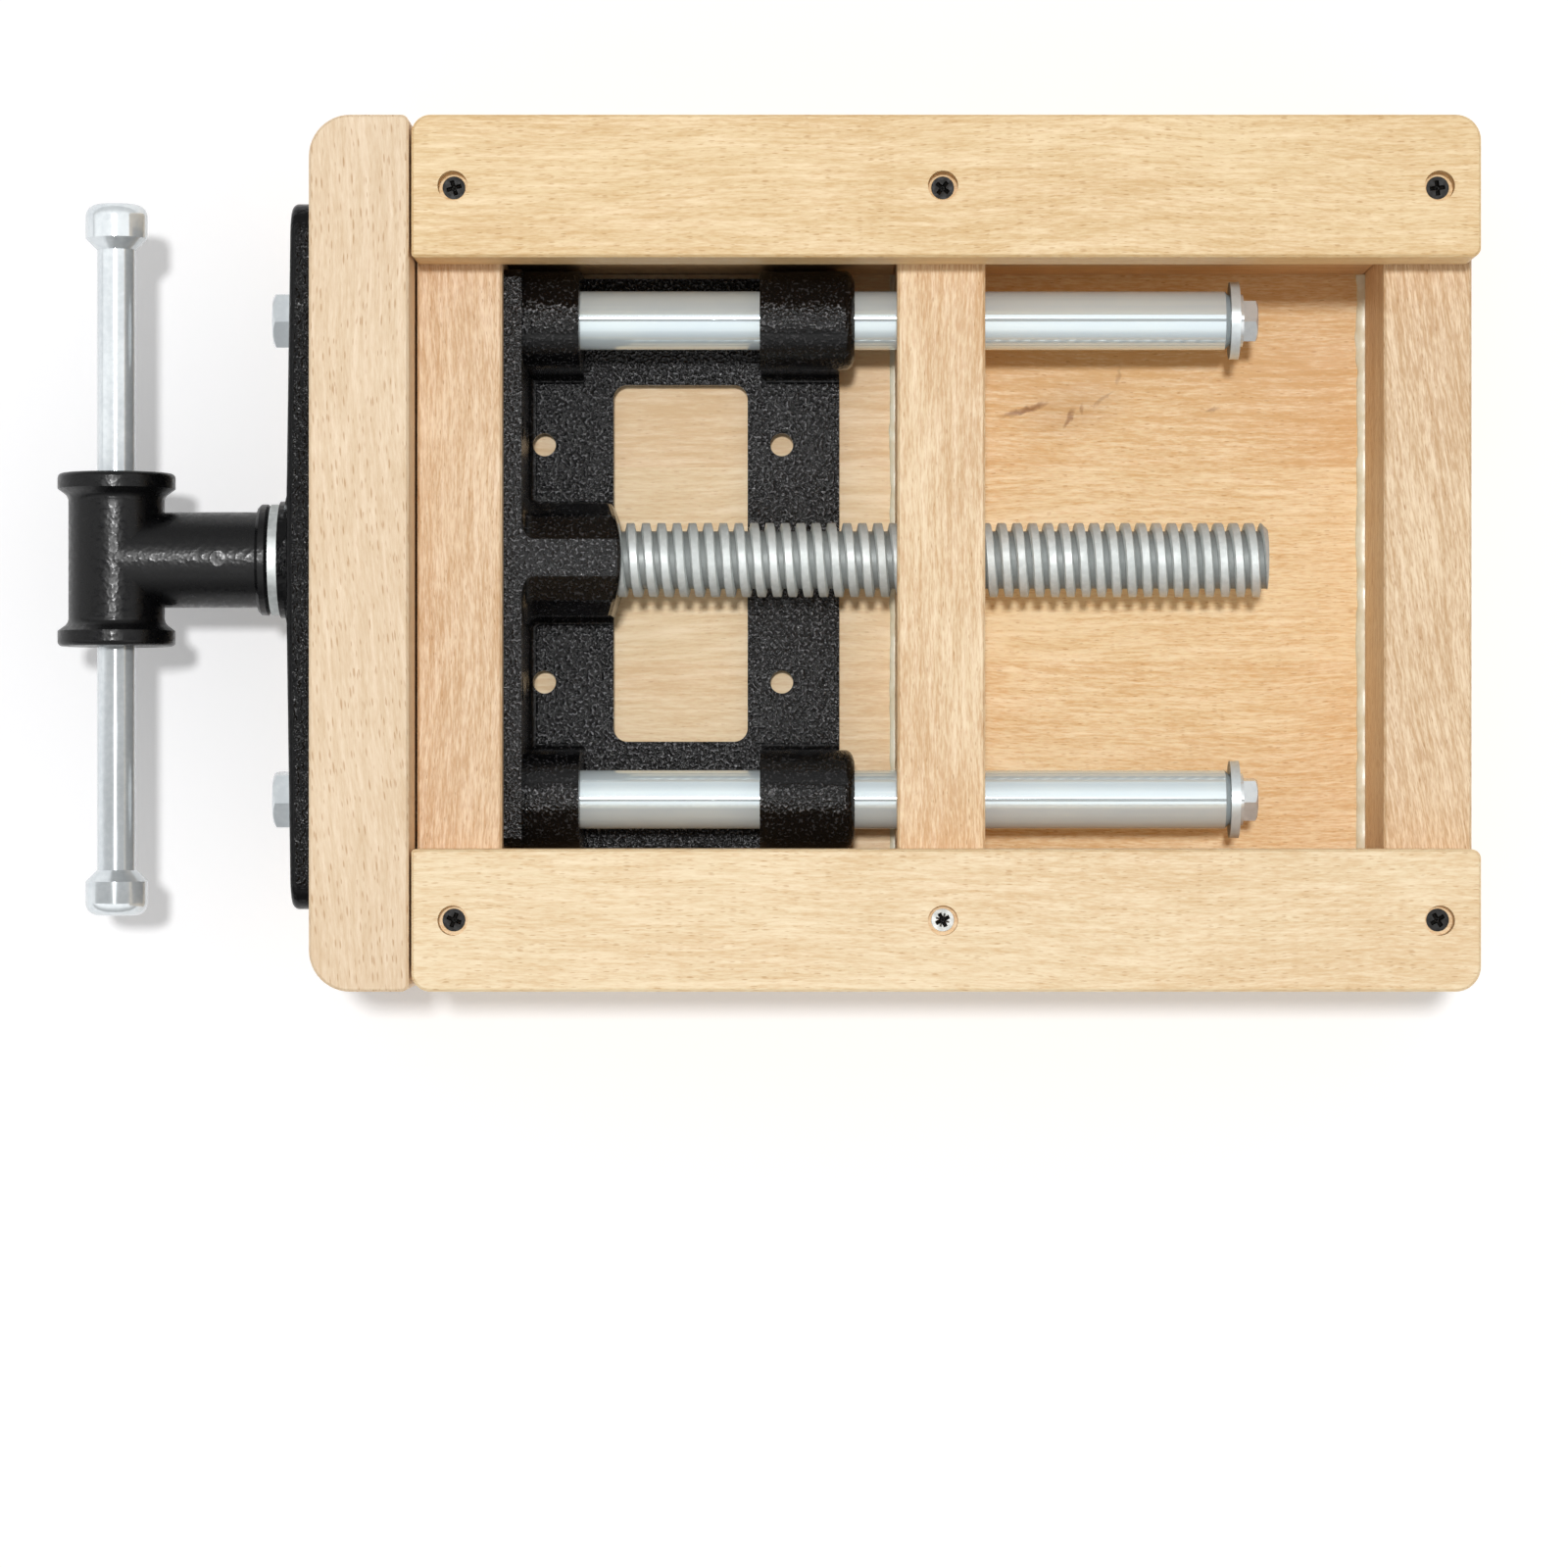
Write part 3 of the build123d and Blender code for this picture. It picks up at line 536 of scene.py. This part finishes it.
def make_piece(name, surface, body, materials, crease_degrees=35):
    """Turns a finished bmesh into an object that rides on a body."""
    bmesh.ops.recalc_face_normals(surface, faces=surface.faces)
    mesh = bpy.data.meshes.new(name)
    surface.to_mesh(mesh)
    surface.free()
    mesh.polygons.foreach_set("use_smooth", [True] * len(mesh.polygons))
    mesh.set_sharp_from_angle(angle=math.radians(crease_degrees))
    for material in materials:
        mesh.materials.append(material)
    piece = bpy.data.objects.new(name, mesh)
    bpy.context.scene.collection.objects.link(piece)
    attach(piece, body)
    return piece


def join_rings(surface, rings):
    """Faces between neighbouring rings of vertices that have the same number of vertices."""
    for ring, following in zip(rings, rings[1:]):
        for place in range(len(ring)):
            other = (place + 1) % len(ring)
            surface.faces.new((ring[place], ring[other], following[other], following[place]))


# The lead screw: a right-hand trapezoidal thread with a plain shank in front

thread_pitch = 5 * millimetre
thread_depth = 0.54 * thread_pitch
crest_share = 0.44
flank_share = 0.13
chamfer_share = 0.025
chamfer_depth_share = 0.05
thread_chamfer = 2 * millimetre
thread_start = board_low.x + 2 * millimetre
shank_radius = 9 * millimetre
shank_chamfer = millimetre / 2
groove_depth = 0.9 * millimetre
steps_round = 80


def thread_section():
    """One pitch of the thread: shares of the pitch and of the depth, with chamfered crests."""
    crest_end = crest_share / 2
    falling = [
        (crest_end, 0.0),
        (crest_end + chamfer_share, chamfer_depth_share),
        (crest_end + flank_share, 1.0),
    ]
    rising = [(1 - advance, depth) for advance, depth in reversed(falling)]
    return falling + rising


def radius_limit(x):
    """The largest radius at an X, which shrinks at the two ends of the thread."""
    from_end = min(x - thread_start, screw_high.x - x)
    return screw_radius - max(0.0, thread_chamfer - from_end)


def about_axis(x, radius, angle):
    """A point at an angle round the screw's axis."""
    return (x, radius * math.cos(angle), axis_z + radius * math.sin(angle))


def add_helix(surface):
    """The open thread, longer than the screw at both ends.

    Each column of vertices runs along the screw. The last column is the first one again, one pitch
    further on."""
    spare_turns = 2
    turns = math.ceil((screw_high.x - thread_start) / thread_pitch) + spare_turns
    section = thread_section()
    rows = [(turn + share, depth) for turn in range(turns) for share, depth in section]
    columns = []
    for step in range(steps_round):
        turned = step / steps_round
        angle = 2 * math.pi * turned
        column = []
        for advance, depth in rows:
            x = thread_start + (advance + turned - spare_turns) * thread_pitch
            radius = min(screw_radius - depth * thread_depth, radius_limit(x))
            column.append(surface.verts.new(about_axis(x, radius, angle)))
        columns.append(column)
    columns.append(columns[0][len(section):])
    for column, following in zip(columns, columns[1:]):
        for row in range(len(following) - 1):
            corners = (column[row], column[row + 1], following[row + 1], following[row])
            surface.faces.new(corners)
    loose = [vertex for vertex in surface.verts if not vertex.link_faces]
    bmesh.ops.delete(surface, geom=loose, context="VERTS")


def close_thread(surface):
    """Cuts the thread off flat at its two ends and closes them."""
    for x, outward in ((thread_start, -1), (screw_high.x, 1)):
        everything = surface.verts[:] + surface.edges[:] + surface.faces[:]
        bmesh.ops.bisect_plane(
            surface, geom=everything, plane_co=(x, 0, 0), plane_no=(outward, 0, 0), clear_outer=True
        )
    merge_distance = millimetre / 100
    bmesh.ops.remove_doubles(surface, verts=surface.verts, dist=merge_distance)
    rims = [edge for edge in surface.edges if edge.is_boundary]
    bmesh.ops.holes_fill(surface, edges=rims, sides=0)


def add_turned(surface, profile):
    """A turned shape about the screw's axis from its X and radius, closed at both ends."""
    rings = []
    for x, radius in profile:
        ring = []
        for step in range(steps_round):
            angle = 2 * math.pi * step / steps_round
            ring.append(surface.verts.new(about_axis(x, radius, angle)))
        rings.append(ring)
    join_rings(surface, rings)
    surface.faces.new(rings[0])
    surface.faces.new(rings[-1])


def painted_shade_in_thread_roots(steel):
    """Painted shade in the roots of the thread and none on its crests."""
    from_axis = steel.vector("SUBTRACT", steel.place, (0, 0, axis_z))
    radius = steel.length(steel.vector("MULTIPLY", from_axis, (0, 1, 1)))
    root_radius = screw_radius - thread_depth
    return steel.between(radius, root_radius, root_radius + 0.25 * thread_depth, 0.75, 0.0)


def lead_screw():
    # The roots of the thread get painted shade.
    threaded_zinc = bright_steel(
        "threaded_zinc", (0.74, 0.78, 0.77), (0.62, 0.66, 0.65), metal=0.38, roughness=0.55,
        painted_shade_places=painted_shade_in_thread_roots
    )
    surface = bmesh.new()
    add_helix(surface)
    close_thread(surface)
    groove_radius = shank_radius - groove_depth
    add_turned(surface, (
        (screw_low.x, shank_radius - shank_chamfer),
        (screw_low.x + shank_chamfer, shank_radius),
        (ring_low.x, shank_radius),
        (ring_low.x, groove_radius),
        (ring_high.x, groove_radius),
        (ring_high.x, shank_radius),
        (thread_start + thread_chamfer, shank_radius),
    ))
    piece = make_piece("lead_screw_thread", surface, "screw", [threaded_zinc])
    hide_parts("lead_screw")


lead_screw()


# Countersunk screws with their recesses

ScrewSize = namedtuple("ScrewSize", "head_radius head_height shank_radius")
foot_screw = ScrewSize(3.55 * millimetre, 3 * millimetre, 2 * millimetre)
flange_screw = ScrewSize(7.5 * millimetre, 4.4 * millimetre, 4 * millimetre)
plate_screw = ScrewSize(5 * millimetre, 3 * millimetre, 2.5 * millimetre)
foot_screw_turns = (0.3, 0.9, 0.1, 1.2, 0.55)
zinc_screw_turn = 0.45
first_forward_turn = 0.4
forward_turn_step = 0.55


def soft_edge(inside, width):
    """1 well inside an edge and 0 outside it, with a smooth change over the width."""
    share = min(1.0, max(0.0, inside / width + 0.5))
    return share * share * (3 - 2 * share)


def cross_recess(x, y, head_radius, with_ticks):
    """How deep a cross recess is at a point of the head, as a share of its full depth.

    Ticks are the four short marks between the arms that some cross recesses have."""
    edge = 0.06 * head_radius
    arm_half_width = 0.15 * head_radius
    arm_reach = 0.62 * head_radius
    centre_radius = 0.24 * head_radius
    from_centre = math.hypot(x, y)
    across = min(abs(x), abs(y))
    along = max(abs(x), abs(y))
    arm = soft_edge(arm_half_width - across, edge) * soft_edge(arm_reach - along, edge)
    arm_depth = arm * (1 - 0.5 * along / arm_reach)
    centre_depth = 0.9 * soft_edge(centre_radius - from_centre, edge)
    if not with_ticks:
        return max(arm_depth, centre_depth)
    tick_half_width = 0.05 * head_radius
    tick_reach = 0.60 * head_radius
    from_diagonal = abs(abs(x) - abs(y)) / math.sqrt(2)
    tick = soft_edge(tick_half_width - from_diagonal, edge)
    tick *= soft_edge(tick_reach - from_centre, edge)
    return max(arm_depth, centre_depth, 0.3 * tick)


def circle(radius, steps):
    """Evenly spaced X and Y of a circle about the middle."""
    angles = [2 * math.pi * step / steps for step in range(steps)]
    return [(radius * math.cos(angle), radius * math.sin(angle)) for angle in angles]


def countersunk_rings(size, length, recess, steps, with_ticks):
    """Rings of points from the middle of a screw's head to its tip, along -Z."""
    rings_in_head = 22
    rings = []
    for index in range(1, rings_in_head + 1):
        ring = []
        for x, y in circle(index / rings_in_head * size.head_radius, steps):
            depth = recess * cross_recess(x, y, size.head_radius, with_ticks)
            ring.append((x, y, -depth))
        rings.append(ring)
    rim = 0.06 * size.head_radius
    tip_start = 0.9 * length
    tip_radius = size.shank_radius / 8
    body = (
        (size.head_radius, -rim),
        (size.shank_radius, -size.head_height),
        (size.shank_radius, -tip_start),
        (tip_radius, -length),
    )
    for radius, z in body:
        rings.append([(x, y, z) for x, y in circle(radius, steps)])
    return rings


def add_screw(surface, place, size, length, turn, with_ticks=False):
    """A countersunk screw along -Z of its own frame, put in place by a matrix.

    Where the recess has ticks, its deep faces take the second material as painted shade."""
    steps = 96
    recess = 0.6 * size.head_radius
    turned = place @ Matrix.Rotation(turn, 4, "Z")
    rings = countersunk_rings(size, length, recess, steps, with_ticks)
    made = [[surface.verts.new(turned @ Vector(point)) for point in ring] for ring in rings]
    join_rings(surface, made)
    centre = surface.verts.new(turned @ Vector((0, 0, -recess)))
    first = made[0]
    for step in range(steps):
        surface.faces.new((centre, first[(step + 1) % steps], first[step]))
    surface.faces.new(made[-1])
    if with_ticks:
        # Painted shade: the deep faces of a ticked recess take the second, blackened material.
        painted_shade_below = -recess / 4
        painted_shade_radius = 0.7 * size.head_radius
        for face in surface.faces:
            inside = turned.inverted() @ face.calc_center_median()
            if inside.z < painted_shade_below and math.hypot(inside.x, inside.y) < painted_shade_radius:
                face.material_index = 1


def foot_screws():
    """The six screws of the foot rails, five blackened and one bright."""
    low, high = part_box("foot_rail_screws")
    zinc_low, zinc_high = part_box("foot_rail_screw_zinc")
    length = high.z - low.z
    left_y = high.y - foot_screw.head_radius
    right_y = -left_y
    front_x = low.x + foot_screw.head_radius
    middle_x = (zinc_low.x + zinc_high.x) / 2
    rear_x = high.x - foot_screw.head_radius
    places = [(front_x, left_y), (middle_x, left_y), (rear_x, left_y)]
    places += [(front_x, right_y), (rear_x, right_y)]
    surface = bmesh.new()
    for (x, y), turn in zip(places, foot_screw_turns):
        place = Matrix.Translation((x, y, high.z))
        add_screw(surface, place, foot_screw, length, turn)
    piece = make_piece(
        "foot_rail_screws_recessed", surface, "frame", [blackened]
    )
    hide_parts("foot_rail_screws")

    surface = bmesh.new()
    place = Matrix.Translation((middle_x, right_y, zinc_high.z))
    add_screw(surface, place, foot_screw, length, zinc_screw_turn, with_ticks=True)
    # The blackened material paints shade into the deep faces of the zinc screw's recess.
    piece = make_piece(
        "foot_rail_screw_zinc_recessed", surface, "frame", [zinc_screw, blackened]
    )
    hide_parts("foot_rail_screw_zinc")


foot_screws()


def forward_screws(node, body, size):
    """Four countersunk screws whose heads face the front, at the corners of their node's box."""
    low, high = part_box(node)
    length = high.x - low.x
    surface = bmesh.new()
    facing_front = Matrix.Rotation(math.radians(-90), 4, "Y")
    turn = first_forward_turn
    for y in (low.y + size.head_radius, high.y - size.head_radius):
        for z in (low.z + size.head_radius, high.z - size.head_radius):
            place = Matrix.Translation((low.x, y, z)) @ facing_front
            add_screw(surface, place, size, length, turn)
            turn += forward_turn_step
    piece = make_piece(node + "_recessed", surface, body, [blackened])
    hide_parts(node)


forward_screws("flange_screws", "frame", flange_screw)
forward_screws("plate_screws", "jaw", plate_screw)


# Beads of glue along the feet of the crossbar and of the rear rail

def glue_bead(name, rail_face, width, seed):
    """A wavy quarter-round bead in the corner between the work board and the face of a rail."""
    sections = 220
    points_round = 8
    long_waves = 60
    middle_waves = 110
    short_waves = 260

    def wave(y, waves_per_metre, layer):
        """Smooth noise from -1 to 1 along the bead."""
        return noise.noise(Vector((y * waves_per_metre, seed, layer)))

    surface = bmesh.new()
    strips = []
    for index in range(sections + 1):
        y = -inner_half_width + 2 * inner_half_width * index / sections
        reach = width * (1 + 0.28 * (wave(y, long_waves, 0) + 0.6 * wave(y, short_waves, 3)))
        height = 0.45 * width * (1 + 0.25 * wave(y, middle_waves, 7))
        strip = [surface.verts.new((rail_face, y, board_high.z))]
        for point in range(points_round + 1):
            angle = math.pi / 2 * point / points_round
            x = rail_face - reach * math.sin(angle)
            strip.append(surface.verts.new((x, y, board_high.z + height * math.cos(angle))))
        strips.append(strip)
    join_rings(surface, strips)
    surface.faces.new(strips[0])
    surface.faces.new(strips[-1])
    make_piece(name, surface, "frame", [bead_glue], crease_degrees=60)


glue_bead("glue_bead_crossbar", crossbar_low.x, 1.7 * millimetre, 1)
glue_bead("glue_bead_rear_rail", rear_rail_front, 2.7 * millimetre, 5)


# Floor, light and background

white = (1, 1, 1, 1)


def seen_in_metal(graph):
    """1 for what is seen in metal or through glass, and 0 for everything else."""
    rays = graph.node("LightPath", {}).outputs
    return graph.math("MAXIMUM", rays["Is Glossy Ray"], rays["Is Transmission Ray"])


def seen_directly(graph):
    """1 for what the camera sees, also in metal, and 0 for the light that falls on the object."""
    rays = graph.node("LightPath", {}).outputs
    return graph.math("MAXIMUM", rays["Is Camera Ray"], seen_in_metal(graph))


def pale_floor():
    """A pale floor that looks white, also in metal, with the shadow of the object on it."""
    half_size = 4
    gap_under_object = millimetre / 5
    lift_strength = 0.2
    corners = [(-half_size, -half_size, 0), (half_size, -half_size, 0)]
    corners += [(half_size, half_size, 0), (-half_size, half_size, 0)]
    mesh = bpy.data.meshes.new("floor")
    mesh.from_pydata(corners, [], [(0, 1, 2, 3)])
    floor = bpy.data.objects.new("floor", mesh)
    floor.location.z = cad_low.z - gap_under_object
    bpy.context.scene.collection.objects.link(floor)
    material = bpy.data.materials.new("pale_floor")
    material.use_nodes = True
    graph = Graph(material.node_tree)
    graph.tree.nodes.remove(graph.tree.nodes["Principled BSDF"])
    paper = graph.node("BsdfDiffuse", {"Color": (0.96, 0.96, 0.97, 1)}).outputs["BSDF"]
    lift = graph.math("MULTIPLY", seen_directly(graph), lift_strength)
    glow = graph.node("Emission", {"Color": white, "Strength": lift}).outputs["Emission"]
    lifted = graph.node("AddShader", {0: paper, 1: glow}).outputs[0]
    graph.feed(graph.tree.nodes["Material Output"].inputs["Surface"], lifted)
    mesh.materials.append(material)


# What metal and paint mirror: the angle from straight up towards the left, and the brightness.
# Two long panels overhead with a dark gap between them, and walls that darken towards the floor.
mirrored_room = (
    (-90, 0.40), (-82, 0.15), (-74, 0.28), (-64, 0.42), (-50, 0.72), (-38, 1.20),
    (-14, 1.35), (-9, 1.35), (-7, 0.0), (2, 0.0), (4, 1.35), (16, 1.35),
    (28, 1.20), (36, 0.95), (54, 0.62), (90, 0.50),
)


def studio_world():
    """Even soft light on the object, a room that metal and paint mirror, and a white background."""
    fill_strength = 0.42
    world = bpy.data.worlds.new("studio")
    bpy.context.scene.world = world
    world.use_nodes = True
    graph = Graph(world.node_tree)

    def background(colour, strength):
        inputs = {"Color": colour, "Strength": strength}
        return graph.node("Background", inputs).outputs["Background"]

    direction = graph.node("TexCoord", {}).outputs["Generated"]
    lean = graph.math("ARCTAN2", graph.part(direction, "Y"), graph.part(direction, "Z"))
    share = graph.math("ADD", graph.math("DIVIDE", lean, math.pi), 0.5)
    ramp = graph.node("ValToRGB", {"Fac": share})
    stops = ramp.color_ramp.elements
    while len(stops) < len(mirrored_room):
        stops.new(0.5)
    for stop, (degrees, level) in zip(stops, mirrored_room):
        stop.position = degrees / 180 + 0.5
        stop.color = (level, level, level, 1)

    fill = background(white, fill_strength)
    room = background(ramp.outputs["Color"], 1.0)
    behind = graph.node("MixShader", {0: seen_in_metal(graph), 1: fill, 2: room}).outputs[0]
    to_camera = graph.node("LightPath", {}).outputs["Is Camera Ray"]
    seen = graph.node("MixShader", {0: to_camera, 1: behind, 2: background(white, 1.0)}).outputs[0]
    graph.feed(graph.tree.nodes["World Output"].inputs["Surface"], seen)


def key_lamp():
    """A lamp almost overhead that leans the shadows towards the near side of the box."""
    lean_to_near_side = math.radians(-5.5)
    lean_to_rear = math.radians(-1)
    lamp = bpy.data.lights.new("key", "SUN")
    lamp.energy = 1.45
    lamp.angle = math.radians(4)
    holder = bpy.data.objects.new("key", lamp)
    holder.rotation_euler = (lean_to_near_side, lean_to_rear, 0)
    bpy.context.scene.collection.objects.link(holder)


pale_floor()
studio_world()
key_lamp()
